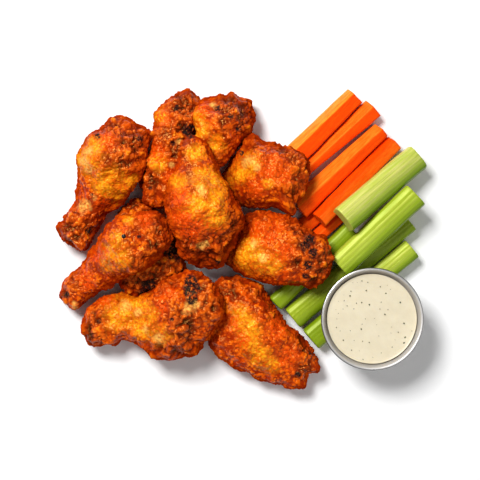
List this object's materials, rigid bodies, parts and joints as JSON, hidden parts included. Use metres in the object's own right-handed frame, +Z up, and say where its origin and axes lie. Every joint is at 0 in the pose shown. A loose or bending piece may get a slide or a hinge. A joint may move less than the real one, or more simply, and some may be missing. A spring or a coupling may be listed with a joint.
{
  "type": "chicken wings serving",
  "caption": "Heap of crisp fried chicken wings in orange hot sauce, with carrot and celery sticks and a flared steel cup of creamy herb-flecked dip.",
  "frame": {"origin": "on the table, under the centre of the serving's box", "axes": "+Z up from the table, +X from the wings towards the dip cup's side, +Y towards the back, where the upper wings and the carrots' far ends are"},
  "size_m": [0.2344, 0.191, 0.0539],
  "materials": {
    "sauced_crust": "glossy orange-red hot sauce over fried crust",
    "carrot": "moist cut root",
    "celery": "moist ribbed stalk",
    "steel": "polished stainless steel",
    "dip": "thick cream-coloured dressing with herb specks"
  },
  "bodies": {
    "root": {"wing_left": "sauced_crust", "wing_back_left": "sauced_crust", "wing_top": "sauced_crust", "wing_back_right": "sauced_crust", "wing_right": "sauced_crust", "wing_centre_right": "sauced_crust", "wing_front_right": "sauced_crust", "wing_front_left": "sauced_crust", "wing_left_middle": "sauced_crust", "wing_buried": "sauced_crust", "carrot_outer": "carrot", "carrot_inner": "carrot", "carrot_top_left": "carrot", "carrot_top_right": "carrot", "carrot_low_left": "carrot", "carrot_low_right": "carrot", "celery_top": "celery", "celery_middle": "celery", "celery_long": "celery", "celery_far": "celery", "celery_low_left": "celery", "celery_front": "celery", "dip_cup": "steel", "dip": "dip"}
  },
  "joints": []
}
